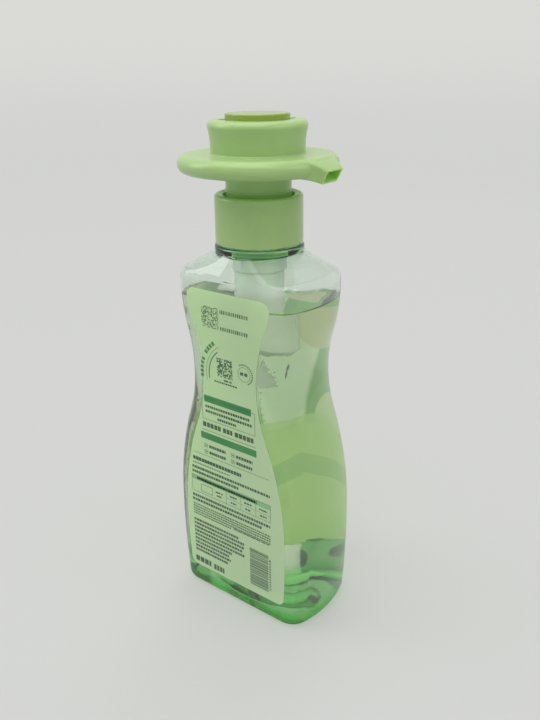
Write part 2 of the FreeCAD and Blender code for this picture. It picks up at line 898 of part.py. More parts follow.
def make_ball_retainer():
    body = new_body("BallRetainer")
    disc = size.barrel_radius - size.fixed_gap
    revolve(body, [
        (size.retainer_bore, size.retainer_disc_foot),
        (disc, size.retainer_disc_foot),
        (disc, size.retainer_top),
        (size.retainer_bore, size.retainer_top),
    ])
    port = new_sketch(body, "PortCircle", "XY_Plane", size.retainer_top)
    draw_circle(port, size.retainer_port, size.retainer_port_circle)
    thickness = size.retainer_top - size.retainer_disc_foot
    pattern_round(body, pocket(body, port, "Port", thickness), "Ports", 4)

    rib = new_sketch(body, "RibSide", "XZ_Plane")
    low, high = size.retainer_rib_half, size.retainer_bore + size.retainer_rib
    draw_outline(rib, [
        (-low, size.retainer_foot),
        (low, size.retainer_foot),
        (low, size.retainer_disc_foot),
        (high, size.retainer_disc_foot),
        (high, size.retainer_top),
        (-high, size.retainer_top),
        (-high, size.retainer_disc_foot),
        (-low, size.retainer_disc_foot),
    ])
    pattern_round(body, pad(body, rib, "Rib", size.retainer_rib, both_ways=True), "Ribs", 4)
    return body


def make_guide_collar():
    body = new_body("GuideCollar")
    sleeve = size.barrel_radius - size.fixed_gap
    guide = size.stem_radius + size.running_gap
    revolve(body, [
        (size.collar_sleeve_bore, size.collar_sleeve_foot),
        (sleeve, size.collar_sleeve_foot),
        (sleeve, size.flange_top),
        (size.collar_spigot, size.flange_top),
        (size.collar_spigot, size.collar_flange_foot),
        (size.collar_flange_radius, size.collar_flange_foot),
        (size.collar_flange_radius, size.collar_flange_top),
        (size.chimney_radius, size.collar_flange_top),
        (size.chimney_radius, size.chimney_top),
        (guide, size.chimney_top),
        (guide, size.chimney_plate),
        (size.chimney_bore, size.chimney_plate),
        (size.chimney_bore, size.collar_flange_foot),
        (size.collar_sleeve_bore, size.collar_flange_foot),
    ])
    return body


def make_stem_wiper():
    inner = size.stem_radius + size.running_gap
    outer = size.chimney_bore - size.fixed_gap
    return tube("StemWiper", inner, outer, size.wiper_foot, size.chimney_plate)


def make_stem():
    body = new_body("Stem")
    revolve(body, [
        (size.stem_bore, size.stem_foot),
        (size.stem_radius, size.stem_foot),
        (size.stem_radius, size.stem_collar_foot),
        (size.stem_collar_radius, size.stem_collar_foot),
        (size.stem_collar_radius, size.stem_collar_top),
        (size.stem_radius, size.stem_collar_top),
        (size.stem_radius, size.stem_top),
        (size.stem_bore, size.stem_top),
    ])
    window = new_sketch(body, "WindowOutline", "XZ_Plane")
    draw_outline(window, [
        (-size.window_half, size.window_foot),
        (size.window_half, size.window_foot),
        (size.window_half, size.window_top),
        (-size.window_half, size.window_top),
    ])
    pattern_round(body, pocket(body, window, "Window", size.stem_radius * 2), "Windows", 4)
    return body


def make_stem_plug():
    body = new_body("StemPlug")
    revolve(body, [
        (0, size.plug_foot),
        (size.plug_radius, size.plug_foot),
        (size.plug_radius, size.plug_edge),
        (size.plug_seat_radius, size.stem_foot),
        (0, size.stem_foot),
    ])
    rib = new_sketch(body, "RibOutline", "XY_Plane", size.stem_foot)
    thick = size.plug_rib / 2
    reach = size.stem_bore - size.fixed_gap * 3
    draw_outline(rib, [(-reach, -thick), (reach, -thick), (reach, thick), (-reach, thick)])
    blade = pad(body, rib, "Rib", size.plug_rib_top - size.stem_foot)
    pattern_round(body, blade, "Ribs", 4)
    return body


def make_piston():
    body = new_body("Piston")
    inner = size.stem_radius + size.running_gap
    lip = size.barrel_radius - size.running_gap
    revolve(body, [
        (inner, size.piston_foot),
        (size.piston_sleeve, size.piston_foot),
        (size.piston_sleeve, size.piston_web_foot),
        (size.lip_root, size.piston_web_foot),
        (lip, size.lip_foot),
        (lip, size.lip_foot + size.lip_land),
        (size.piston_waist, size.piston_web_foot),
        (size.piston_waist, size.piston_web_top),
        (lip, size.lip_top - size.lip_land),
        (lip, size.lip_top),
        (size.lip_root, size.piston_web_top),
        (size.piston_sleeve, size.piston_web_top),
        (size.piston_sleeve, size.piston_top),
        (inner, size.piston_top),
    ])
    return body


def make_spring():
    body = new_body("Spring")
    sketch = new_sketch(body, "WireCircle", "XZ_Plane")
    wire = size.spring_wire / 2
    foot = size.retainer_top + size.spring_gap
    draw_circle(sketch, wire, size.spring_mean, foot + wire)
    coil = add_feature(
        body, "AdditiveHelix", "Coil", Profile=sketch, ReferenceAxis=(sketch, ["V_Axis"])
    )
    coil.Mode = "pitch-height-angle"
    coil.Angle = 0
    rise = size.plug_foot - size.spring_gap - foot - size.spring_wire
    bind(coil, "Pitch", rise / size.spring_coils)
    bind(coil, "Height", rise)
    return body


# head -------------------------------------------------------------------------------------------


def make_actuator_base():
    body = new_body("ActuatorBase")
    bore = size.stem_radius + size.running_gap
    revolve(body, [
        (bore, size.socket_tube_foot),
        (size.socket_tube_radius, size.socket_tube_foot),
        (size.socket_tube_radius, size.brim_bottom),
        (size.skirt_bore, size.brim_bottom),
        (size.skirt_bore, size.skirt_foot),
        (size.skirt_radius, size.skirt_foot),
        (size.skirt_radius, size.bead_foot),
        (size.bead_radius, size.bead_foot + size.bead_slope),
        (size.bead_radius, size.bead_top - size.bead_slope),
        (size.skirt_radius, size.bead_top),
        (size.skirt_radius, size.brim_bottom),
        (size.plate_radius, size.brim_bottom),
        (size.plate_radius, size.plate_top),
        (bore, size.plate_top),
    ])
    duct = new_sketch(body, "DuctOutline", "XY_Plane", size.plate_top)
    draw_outline(duct, [
        (-size.duct_back, -size.duct_half),
        (size.duct_front, -size.duct_half),
        (size.duct_front, size.duct_half),
        (-size.duct_back, size.duct_half),
    ])
    pad(body, duct, "Duct", size.duct_top - size.plate_top)
    way = new_sketch(body, "WayOutline", "XY_Plane", size.plate_top)
    half = size.duct_half - size.duct_wall
    back = size.duct_wall - size.duct_back
    ahead = size.duct_front + SPAN
    draw_outline(way, [(back, -half), (ahead, -half), (ahead, half), (back, half)])
    height = size.duct_top - size.duct_wall - size.plate_top
    pocket(body, way, "Way", height, backwards=True)
    return body


def leaning_section(body, name, reach, height, lean, half_width, tall, radius):
    """A rounded rectangle across the spout, its top leaning forward by an angle."""
    sketch = new_sketch(body, name, "YZ_Plane", reach)
    bind(sketch, "AttachmentOffset.Base.y", height)
    turn_about(sketch, (1, 0, 0), lean, "AttachmentOffset")
    draw_rounded_rectangle(sketch, half_width, tall / 2, radius)
    return sketch


def make_spout_solid():
    body = new_body("SpoutSolid")
    brim_middle = (size.brim_bottom + size.brim_top) / 2
    sections = [
        leaning_section(
            body, "RootSection", size.spout_root_reach, brim_middle, Length(0),
            size.spout_root_half, size.brim_top - size.brim_bottom, size.mouth_round,
        ),
        leaning_section(
            body, "MidSection", size.spout_mid_reach, size.spout_mid_height, size.spout_mid_lean,
            size.spout_mid_half, size.spout_mid_tall, size.mouth_round,
        ),
        leaning_section(
            body, "MouthSection", size.mouth_reach, size.mouth_height, size.mouth_lean,
            size.mouth_half, size.mouth_tall, size.mouth_round,
        ),
    ]
    add_loft(body, sections, "Form")
    return body


def make_spout_bore():
    """The way out through the spout, run on past the mouth."""
    body = new_body("SpoutBore")
    half = size.mouth_half - size.spout_wall
    tall = size.mouth_tall - size.spout_wall * 2
    radius = size.mouth_round - size.spout_wall / 2
    lean = size.mouth_lean
    places = [
        ("Root", size.bore_root_reach, size.bore_root_height, Length(0),
         size.bore_root_half, size.bore_root_tall),
        ("Mouth", size.mouth_reach, size.mouth_height, lean, half, tall),
    ]
    sections = [
        leaning_section(body, name, reach, height, tilt, wide, high, radius)
        for name, reach, height, tilt, wide, high in places
    ]
    add_loft(body, sections, "Way")
    out = leaning_section(body, "Out", size.mouth_reach, size.mouth_height, lean, half, tall, radius)
    pad(body, out, "Past", size.bore_overrun)
    return body


def make_hat_solid():
    body = new_body("HatSolid")
    revolve(body, [
        (0, size.brim_bottom),
        (size.brim_radius, size.brim_bottom),
        (size.brim_radius, size.brim_top),
        (size.crown_foot_radius, size.brim_top),
        (size.crown_waist_radius, size.crown_waist, size.crown_flare),
        (size.crown_radius, size.crown_top),
        (0, size.crown_top),
    ])
    for name, radius, height, rounding in (
        ("BrimTopRound", size.brim_radius, size.brim_top, size.brim_round),
        ("BrimFootRound", size.brim_radius, size.brim_bottom, size.brim_round),
        ("CrownRound", size.crown_radius, size.crown_top, size.crown_round),
        ("CrownRoot", size.crown_foot_radius, size.brim_top, size.crown_root_round),
    ):
        round_edges(body, name, rounding, ring_edge(radius, height))
    return body


def make_hat_hollow():
    body = new_body("HatHollow")
    revolve(body, [
        (0, size.brim_bottom - SPAN),
        (size.hollow_radius, size.brim_bottom - SPAN),
        (size.hollow_radius, size.hollow_roof - size.hollow_chamfer),
        (size.hollow_radius - size.hollow_chamfer, size.hollow_roof),
        (size.crown_hollow_radius, size.hollow_roof),
        (size.crown_hollow_radius, size.crown_ceiling),
        (size.disc_plug_hole, size.crown_ceiling),
        (size.disc_plug_hole, size.disc_floor),
        (size.disc_recess, size.disc_floor),
        (size.disc_recess, size.crown_top + SPAN),
        (0, size.crown_top + SPAN),
    ])
    return body


def make_scallops():
    """Two finger scallops beside the disc, on a diameter turned from the spout."""
    body = new_body("Scallops")
    sketch = new_sketch(body, "ScallopCircle", "XY_Plane", size.scallop_floor)
    draw_circle(sketch, size.scallop_radius, size.scallop_circle)
    depth = size.crown_top + SPAN - size.scallop_floor
    pattern_round(body, pad(body, sketch, "Scallop", depth), "Pair", 2)
    turn_about(body, (0, 0, 1), size.scallop_turn)
    return body


def make_actuator_shell():
    hat = combine("Fuse", "HatWithSpout", make_hat_solid(), make_spout_solid())
    hollowed = combine("Cut", "HatHollowed", hat, make_hat_hollow())
    bored = combine("Cut", "HatBored", hollowed, make_spout_bore())
    return combine("Cut", "ActuatorShell", bored, make_scallops())


def make_crown_disc():
    body = new_body("CrownDisc")
    under = size.disc_top - size.disc_plate
    revolve(body, [
        (size.disc_plug_bore, size.disc_plug_foot),
        (size.disc_plug_radius, size.disc_plug_foot),
        (size.disc_plug_radius, size.disc_floor),
        (size.disc_radius, size.disc_floor),
        (size.disc_radius, size.disc_top),
        (0, size.disc_top),
        (0, under),
        (size.disc_plug_bore, under),
    ])
    round_edges(body, "TopRound", size.disc_round, ring_edge(size.disc_radius, size.disc_top))
    return body


# whole ------------------------------------------------------------------------------------------


def make_parts():
    return {
        "bottle": make_bottle(),
        "gel_fill": make_gel(),
        "back_label": make_back_label(),
        "front_label": make_front_label(),
        "closure": make_closure(),
        "neck_gasket": make_gasket(),
        "pump_housing": make_housing(),
        "dip_tube": make_dip_tube(),
        "inlet_ball": make_inlet_ball(),
        "ball_retainer": make_ball_retainer(),
        "guide_collar": make_guide_collar(),
        "stem_wiper": make_stem_wiper(),
        "pump_stem": make_stem(),
        "stem_plug": make_stem_plug(),
        "piston": make_piston(),
        "return_spring": make_spring(),
        "actuator_base": make_actuator_base(),
        "actuator_shell": make_actuator_shell(),
        "crown_disc": make_crown_disc(),
    }


def check(parts):
    doc.recompute()
    for item in doc.Objects:
        if {"Invalid", "Error"} & set(item.State):
            raise RuntimeError(f"{item.Name} failed: {item.State}")
    for node, item in parts.items():
        if item.Shape.isNull() or not item.Shape.isValid():
            raise RuntimeError(f"{node} has no valid shape")


def write(parts):
    os.makedirs("parts", exist_ok=True)
    for node, item in parts.items():
        item.Label = node
        item.Shape.exportStep(f"parts/{node}.step")
        box = item.Shape.optimalBoundingBox()
        print(f"{node}: {len(item.Shape.Solids)} solid, {item.Shape.Volume / 1000:.2f} cm3, "
              f"x {box.XMin:.2f} to {box.XMax:.2f}, z {box.ZMin:.2f} to {box.ZMax:.2f}")


fill_sheet()
parts = make_parts()
check(parts)
write(parts)
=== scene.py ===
import bmesh
import bpy
import math
import random
from mathutils import Matrix, Vector


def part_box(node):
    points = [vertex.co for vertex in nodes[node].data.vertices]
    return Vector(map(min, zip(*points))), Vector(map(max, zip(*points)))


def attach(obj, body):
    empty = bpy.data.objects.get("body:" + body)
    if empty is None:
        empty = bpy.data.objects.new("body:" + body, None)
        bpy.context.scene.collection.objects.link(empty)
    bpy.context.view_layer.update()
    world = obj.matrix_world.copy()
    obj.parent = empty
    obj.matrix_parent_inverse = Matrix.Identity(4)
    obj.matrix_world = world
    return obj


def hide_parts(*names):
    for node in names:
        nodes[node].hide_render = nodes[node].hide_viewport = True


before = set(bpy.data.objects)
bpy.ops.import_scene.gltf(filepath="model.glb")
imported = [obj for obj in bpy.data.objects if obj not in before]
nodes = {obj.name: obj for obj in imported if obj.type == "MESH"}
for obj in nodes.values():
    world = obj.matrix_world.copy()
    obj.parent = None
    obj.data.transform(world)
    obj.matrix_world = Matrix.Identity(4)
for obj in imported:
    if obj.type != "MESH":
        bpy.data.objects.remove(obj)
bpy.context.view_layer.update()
mm = 0.001
weld = 1e-6
print("frame loaded:", len(nodes), "nodes")


# colours are written as on screen and turned to the linear values that sockets take
def paint(code, alpha=1.0):
    parts = [int(code[i:i + 2], 16) / 255 for i in (0, 2, 4)]
    linear = [c / 12.92 if c <= 0.04045 else ((c + 0.055) / 1.055) ** 2.4 for c in parts]
    return (*linear, alpha)


# node building


def feed(tree, socket, value):
    if isinstance(value, bpy.types.NodeSocket):
        tree.links.new(value, socket)
    else:
        socket.default_value = value


def addNode(tree, kind, inputs=None, **settings):
    node = tree.nodes.new("ShaderNode" + kind)
    for name, value in settings.items():
        setattr(node, name, value)
    for name, value in (inputs or {}).items():
        feed(tree, node.inputs[name], value)
    return node


def calc(tree, operation, *values):
    node = addNode(tree, "Math", operation=operation)
    for index, value in enumerate(values):
        feed(tree, node.inputs[index], value)
    return node.outputs[0]


def blendColours(tree, factor, low, high):
    node = addNode(tree, "Mix", data_type="RGBA")
    feed(tree, node.inputs[0], factor)
    feed(tree, node.inputs[6], low)
    feed(tree, node.inputs[7], high)
    return node.outputs[2]


def noise(tree, where, scale, detail=2.0):
    node = addNode(tree, "TexNoise", {"Vector": where, "Scale": scale, "Detail": detail})
    return node.outputs[0]


def heightShare(tree, where, low, high):
    # 0 below one height and 1 above another, both in mm
    split = addNode(tree, "SeparateXYZ", {"Vector": where})
    return addNode(tree, "MapRange", {
        "Value": split.outputs["Z"], "From Min": low * mm, "From Max": high * mm,
    }, interpolation_type="SMOOTHSTEP").outputs[0]


def setPlain(shader, values):
    for name, value in values.items():
        shader.inputs[name].default_value = value


def newMaterial(name):
    material = bpy.data.materials.new(name)
    material.use_nodes = True
    tree = material.node_tree
    tree.nodes.clear()
    shader = addNode(tree, "BsdfPrincipled")
    out = addNode(tree, "OutputMaterial", {"Surface": shader.outputs[0]})
    where = addNode(tree, "TexCoord").outputs["Object"]
    return material, tree, shader, out, where


def newGroup(name, inputs, outputs):
    group = bpy.data.node_groups.new(name, "ShaderNodeTree")
    for label, kind, value in inputs:
        socket = group.interface.new_socket(label, in_out="INPUT", socket_type="NodeSocket" + kind)
        if value is not None:
            socket.default_value = value
    for label, kind in outputs:
        group.interface.new_socket(label, in_out="OUTPUT", socket_type="NodeSocket" + kind)
    return group, group.nodes.new("NodeGroupInput"), group.nodes.new("NodeGroupOutput")


def useGroup(tree, group, **inputs):
    node = addNode(tree, "Group", node_tree=group)
    for name, value in inputs.items():
        feed(tree, node.inputs[name], value)
    return node


def makeMouldGroup():
    # fine orange peel and slow changes of tone, as on moulded plastic and film
    group, start, end = newGroup(
        "mouldGrain",
        [("Vector", "Vector", None), ("Peel", "Float", 900.0), ("Flow", "Float", 55.0)],
        [("Tone", "Float"), ("Height", "Float")],
    )
    peel = noise(group, start.outputs["Vector"], start.outputs["Peel"])
    flow = noise(group, start.outputs["Vector"], start.outputs["Flow"], 1.0)
    spread = addNode(group, "MapRange", {"Value": flow, "From Min": 0.1, "From Max": 0.9},
                     interpolation_type="SMOOTHERSTEP")
    feed(group, end.inputs["Tone"], spread.outputs[0])
    feed(group, end.inputs["Height"], peel)
    return group


def makeRoundGroup():
    # 1 inside a circle or an upright cylinder, 0 outside it
    group, start, end = newGroup(
        "roundField",
        [("Vector", "Vector", None), ("Centre", "Vector", None), ("Radius", "Float", 0.01),
         ("Softness", "Float", 0.0005)],
        [("Mask", "Float")],
    )
    apart = addNode(group, "VectorMath", operation="DISTANCE")
    feed(group, apart.inputs[0], start.outputs["Vector"])
    feed(group, apart.inputs[1], start.outputs["Centre"])
    inner = calc(group, "SUBTRACT", start.outputs["Radius"], start.outputs["Softness"])
    edge = addNode(group, "MapRange", {
        "Value": apart.outputs["Value"], "From Min": inner,
        "From Max": start.outputs["Radius"], "To Min": 1.0, "To Max": 0.0,
    }, interpolation_type="SMOOTHSTEP")
    feed(group, end.inputs["Mask"], edge.outputs[0])
    return group


mouldGrain = makeMouldGroup()
roundField = makeRoundGroup()
print("node groups ready")


def addGrainBump(tree, shader, grain, strength, depth):
    bump = addNode(tree, "Bump", {
        "Strength": strength, "Distance": depth, "Height": grain.outputs["Height"],
    })
    feed(tree, shader.inputs["Normal"], bump.outputs[0])


# mesh helpers


def copyOfNode(node):
    bm = bmesh.new()
    bm.from_mesh(nodes[node].data)
    bmesh.ops.remove_doubles(bm, verts=bm.verts, dist=weld)
    return bm


def finishPiece(bm, name, body, material, smooth=False):
    bmesh.ops.recalc_face_normals(bm, faces=bm.faces)
    mesh = bpy.data.meshes.new(name)
    for face in bm.faces:
        face.smooth = smooth
    bm.to_mesh(mesh)
    bm.free()
    piece = bpy.data.objects.new(name, mesh)
    bpy.context.scene.collection.objects.link(piece)
    mesh.materials.append(material)
    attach(piece, body)
    return piece


# plastics

plasticCommon = dict(
    ior=1.49, glowRadius=(0.6, 1.0, 0.35), coatRoughness=0.12,
    toneRoughness=0.05,      # how much the roughness swings with the tone
    bumpDepth=0.1 * mm,
)
plasticLooks = {
    "headGreen": dict(
        colour="A4C280", deep="A1BF7C", roughness=0.3, glow=0.6, glowDepth=0.005,
        peel=700.0, bump=0.04, coat=0.18, clear=0.0, through="B4D298",
    ),
    "discOlive": dict(
        colour="8CA534", deep="88A030", roughness=0.24, glow=0.3, glowDepth=0.0015,
        peel=600.0, bump=0.02, coat=0.3, clear=0.0, through=None,
    ),
    "naturalPlastic": dict(
        colour="FAFCF6", deep="F6F9F2", roughness=0.4, glow=0.6, glowDepth=0.006,
        peel=500.0, bump=0.05, coat=0.0, clear=0.25, through="EEF3EA",
    ),
    "sealRubber": dict(
        colour="E4E6DF", deep="D8DAD2", roughness=0.6, glow=0.2, glowDepth=0.002,
        peel=900.0, bump=0.2, coat=0.0, clear=0.0, through=None,
    ),
}


def letLightThrough(tree, shader, out, tint):
    # a clear wall would throw a black shadow, so shadow rays pass it with a tint
    clear = addNode(tree, "BsdfTransparent", {"Color": tint})
    path = addNode(tree, "LightPath")
    mix = addNode(tree, "MixShader")
    feed(tree, mix.inputs[0], path.outputs["Is Shadow Ray"])
    feed(tree, mix.inputs[1], shader.outputs[0])
    feed(tree, mix.inputs[2], clear.outputs[0])
    feed(tree, out.inputs["Surface"], mix.outputs[0])


def makePlastic(name, look):
    material, tree, shader, out, where = newMaterial(name)
    grain = useGroup(tree, mouldGrain, Vector=where, Peel=look["peel"])
    tone = grain.outputs["Tone"]
    feed(tree, shader.inputs["Base Color"],
         blendColours(tree, tone, paint(look["deep"]), paint(look["colour"])))
    swing = plasticCommon["toneRoughness"]
    feed(tree, shader.inputs["Roughness"],
         calc(tree, "MULTIPLY_ADD", tone, swing, look["roughness"] - swing / 2))
    addGrainBump(tree, shader, grain, look["bump"], plasticCommon["bumpDepth"])
    setPlain(shader, {
        "IOR": plasticCommon["ior"],
        "Subsurface Weight": look["glow"],
        "Subsurface Radius": plasticCommon["glowRadius"],
        "Subsurface Scale": look["glowDepth"],
        "Transmission Weight": look["clear"],
        "Coat Weight": look["coat"],
        "Coat Roughness": plasticCommon["coatRoughness"],
    })
    if look["through"]:
        letLightThrough(tree, shader, out, paint(look["through"]))
    return material


plastics = {name: makePlastic(name, look) for name, look in plasticLooks.items()}


# clear parts


def makeClear(tree, shader, out, look):
    setPlain(shader, {"Transmission Weight": 1.0, "Roughness": 0.0, "IOR": look["ior"]})
    letLightThrough(tree, shader, out, paint(look["shadowTint"]))
    volume = addNode(tree, "VolumeAbsorption", {
        "Color": look["absorb"], "Density": look["density"],
    })
    feed(tree, out.inputs["Volume"], volume.outputs[0])


petLook = dict(
    tint="FAFEFA", deepTint="F7FDF8", shadowTint="F8FCF6", ior=1.57,
    peel=220.0, ripple=0.012, rippleDepth=1.0 * mm,
    absorb=(0.2, 0.85, 0.4, 1), density=32.0,   # seen where the wall is thick or edge-on
    ringReflectionGreen="A8D89C", ringFoot=178.4, ringFull=179.6,   # painted reflection of the closure's green in the neck; heights of the neck ring in mm
)


def makePet():
    material, tree, shader, out, where = newMaterial("clearPet")
    grain = useGroup(tree, mouldGrain, Vector=where, Peel=petLook["peel"])
    clear = blendColours(tree, grain.outputs["Tone"], paint(petLook["tint"]),
                         paint(petLook["deepTint"]))
    # painted reflection: the clear wall is tinted green from the neck ring up, for the closure's
    # green seen in it
    paintedRingGreen = heightShare(tree, where, petLook["ringFoot"], petLook["ringFull"])
    feed(tree, shader.inputs["Base Color"],
         blendColours(tree, paintedRingGreen, clear, paint(petLook["ringReflectionGreen"])))
    addGrainBump(tree, shader, grain, petLook["ripple"], petLook["rippleDepth"])
    makeClear(tree, shader, out, petLook)
    return material


gelLook = dict(
    tint="FFFFFF", shadowTint="F4FEEA", ior=1.37, absorb=(0.66, 0.97, 0.1, 1), density=5.0,
    footReflectionGreen="66DE5C", footLow=4.0, footHigh=14.0,   # painted reflection: the base's deep green, gathered by internal reflection through the gel's whole depth
    grow=0.12 * mm,          # how far the gel's skin goes into the wall it wets
    roomReach=12.5 * mm,     # the room round the pump ends this far from the middle
    roomAbove=3.1 * mm,      # and this far above the gel's lowest point
    roomShrink=0.9 * mm,     # how far the skin goes into the pump's wall
    roomLift=0.9 * mm,       # and up into its undersides
    roomFoot=10.0 * mm,
    surfaceBand=2.0 * mm,    # skin nearer to the surface than this isn't lifted
    flatFace=12 * mm * mm,   # faces larger than this count as flat
    evenTurns=3,
    rimRise=1.1 * mm,
    rimSteps=((0.35, 0.55), (0.55, 0.2), (0.8, 0.0)),   # width in mm, share of the rise
)


def makeGelMaterial():
    material, tree, shader, out, where = newMaterial("clearGel")
    # painted reflection: the gel is tinted deeper green towards its foot
    body = heightShare(tree, where, gelLook["footLow"], gelLook["footHigh"])
    feed(tree, shader.inputs["Base Color"],
         blendColours(tree, body, paint(gelLook["footReflectionGreen"]), paint(gelLook["tint"])))
    makeClear(tree, shader, out, gelLook)
    return material


# spring and ball

steelLook = dict(
    drawn=1500.0, dark=(0.42, 0.42, 0.43, 1), bright=(0.6, 0.6, 0.62, 1),
    roughness=0.18, roughSwing=0.2,
)
ballLook = dict(ior=1.5, haze=400.0, roughSwing=0.08)


def makeSteel():
    material, tree, shader, out, where = newMaterial("springSteel")
    drawn = noise(tree, where, steelLook["drawn"])
    setPlain(shader, {"Metallic": 1.0})
    feed(tree, shader.inputs["Base Color"],
         blendColours(tree, drawn, steelLook["dark"], steelLook["bright"]))
    feed(tree, shader.inputs["Roughness"],
         calc(tree, "MULTIPLY_ADD", drawn, steelLook["roughSwing"], steelLook["roughness"]))
    return material


def makeBallGlass():
    material, tree, shader, out, where = newMaterial("ballGlass")
    setPlain(shader, {"Transmission Weight": 1.0, "IOR": ballLook["ior"]})
    haze = noise(tree, where, ballLook["haze"])
    feed(tree, shader.inputs["Roughness"], calc(tree, "MULTIPLY", haze, ballLook["roughSwing"]))
    return material


dressing = {
    "bottle": makePet(),
    "closure": plastics["headGreen"],
    "actuator_base": plastics["headGreen"],
    "actuator_shell": plastics["headGreen"],
    "crown_disc": plastics["discOlive"],
    "pump_housing": plastics["naturalPlastic"],
    "dip_tube": plastics["naturalPlastic"],
    "ball_retainer": plastics["naturalPlastic"],
    "guide_collar": plastics["naturalPlastic"],
    "pump_stem": plastics["naturalPlastic"],
    "stem_plug": plastics["naturalPlastic"],
    "piston": plastics["naturalPlastic"],
    "neck_gasket": plastics["sealRubber"],
    "stem_wiper": plastics["sealRubber"],
    "return_spring": makeSteel(),
    "inlet_ball": makeBallGlass(),
}
for node, material in dressing.items():
    for materialSlot in nodes[node].material_slots:
        materialSlot.material = material
print("finishes on", len(dressing), "nodes")


# gel


def evenNormals(bm, surface):
    # a normal for every face corner: big flat faces keep theirs, the curved wall's are evened out
    def blend(vert, faces):
        flats = [f for f in faces if f.calc_area() > gelLook["flatFace"]]
        total = Vector()
        for loop in vert.link_loops:
            if loop.face in (flats or faces):
                total += loop.face.normal * loop.calc_angle()
        return total.normalized(), bool(flats)

    upper, wall, held = {}, {}, set()
    for vert in bm.verts:
        above = [f for f in vert.link_faces if f in surface]
        around = [f for f in vert.link_faces if f not in surface]
        if above:
            upper[vert] = blend(vert, above)[0]
        if around:
            wall[vert], flat = blend(vert, around)
            if flat or above:
                held.add(vert)
    for turn in range(gelLook["evenTurns"]):
        before = dict(wall)
        for vert in wall:
            if vert not in held:
                near = [before[e.other_vert(vert)] for e in vert.link_edges]
                wall[vert] = (before[vert] + sum(near, Vector()) / len(near)).normalized()
    return [(upper if face in surface else wall)[loop.vert]
            for face in bm.faces for loop in face.loops]


def makeGel():
    bm = copyOfNode("gel_fill")
    bm.normal_update()
    low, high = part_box("gel_fill")
    level = high.z
    tiny = 0.01 * mm
    top = [f for f in bm.faces if f.normal.z > 0.999 and f.calc_center_median().z > level - tiny]
    topVerts = {v for f in top for v in f.verts}
    shifts = {}
    for vert in bm.verts:
        flat = Vector((vert.co.x, vert.co.y, 0))
        if flat.length < gelLook["roomReach"] and vert.co.z > low.z + gelLook["roomAbove"]:
            radius = max(flat.length - gelLook["roomShrink"], 0)
            place = flat.normalized() * radius
            lift = gelLook["roomLift"] if vert.co.z < level - gelLook["surfaceBand"] else 0
            place.z = max(vert.co.z + lift, gelLook["roomFoot"])
            shifts[vert] = place
        elif vert in topVerts:
            outward = sum((f.normal for f in vert.link_faces if f not in top), Vector())
            outward.z = 0
            shifts[vert] = vert.co + outward.normalized() * gelLook["grow"]
        else:
            shifts[vert] = vert.co + vert.normal * gelLook["grow"]
    for vert, place in shifts.items():
        vert.co = place

    # the gel climbs a little where it wets the wall and the pump
    rise = gelLook["rimRise"]
    rim = {v for v in topVerts if any(f not in top for f in v.link_faces)}
    for vert in rim:
        vert.co.z += rise
    region = list(top)
    for width, share in gelLook["rimSteps"]:
        bmesh.ops.inset_region(
            bm, faces=region, thickness=width * mm, depth=0, use_boundary=True,
            use_even_offset=True,
        )
        for vert in {v for f in region for v in f.verts}:
            vert.co.z = level + rise * share
    bmesh.ops.recalc_face_normals(bm, faces=bm.faces)
    surface = {f for f in bm.faces if all(v.co.z > level - tiny for v in f.verts)}
    shading = evenNormals(bm, surface)
    piece = finishPiece(bm, "gelBody", "bottle", makeGelMaterial(), smooth=True)
    piece.data.normals_split_custom_set(shading)
    return piece


gelBody = makeGel()
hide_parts("gel_fill")
print("gel poured")


# labels

labelLook = dict(
    sink=0.1 * mm,           # the glue face goes this far into the wall, so no air shows
    glueReach=23.8 * mm,     # the glue face lies nearer to the middle than this
    peel=260.0, flow=30.0, roughness=0.33, roughSwing=0.06, bump=0.03, bumpDepth=1.0 * mm,
    glow=0.7, glowRadius=(1.0, 1.0, 1.0), glowDepth=0.8 * mm,
)


def makeLabel(node, name, side, material):
    bm = copyOfNode(node)
    for vert in bm.verts:
        if abs(vert.co.y) < labelLook["glueReach"]:
            vert.co.y -= side * labelLook["sink"]
    piece = finishPiece(bm, name, "bottle", material)
    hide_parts(node)


def labelMaterial(name):
    material, tree, shader, out, where = newMaterial(name)
    grain = useGroup(tree, mouldGrain, Vector=where, Peel=labelLook["peel"],
                     Flow=labelLook["flow"])
    tone = grain.outputs["Tone"]
    feed(tree, shader.inputs["Roughness"],
         calc(tree, "MULTIPLY_ADD", tone, labelLook["roughSwing"], labelLook["roughness"]))
    addGrainBump(tree, shader, grain, labelLook["bump"], labelLook["bumpDepth"])
    setPlain(shader, {
        "Subsurface Weight": labelLook["glow"],
        "Subsurface Radius": labelLook["glowRadius"],
        "Subsurface Scale": labelLook["glowDepth"],
    })
    return material, tree, shader, where, tone


def groundColour(tree, where, look):
    share = heightShare(tree, where, look["low"], look["high"])
    return blendColours(tree, share, paint(look["foot"]), paint(look["top"]))


def mottle(tree, shader, tone, colour, look):
    share = calc(tree, "MULTIPLY", tone, look["mottling"])
    feed(tree, shader.inputs["Base Color"],
         blendColours(tree, share, colour, paint(look["mottle"])))


# the ground's colour at two heights in mm, and the colour it is mottled with
backLook = dict(foot="BDD9AC", top="B9D5A4", low=20, high=150, mottle="B9DAAE", mottling=0.1)


def makeBackFilm():
    material, tree, shader, where, tone = labelMaterial("backFilm")
    mottle(tree, shader, tone, groundColour(tree, where, backLook), backLook)
    return material


# the front film's ground is painted near white: painted light, standing in for light shining
# through the film from behind
frontLook = dict(
    foot="F2F5E6", top="FAFAF4", low=55, high=125, mottle="C9E2B8", mottling=0.08,
    ribbon="B6CC96", ribbonCentre=(0, -40), ribbonOuter=107, ribbonInner=97, ribbonEdge=0.5,
)
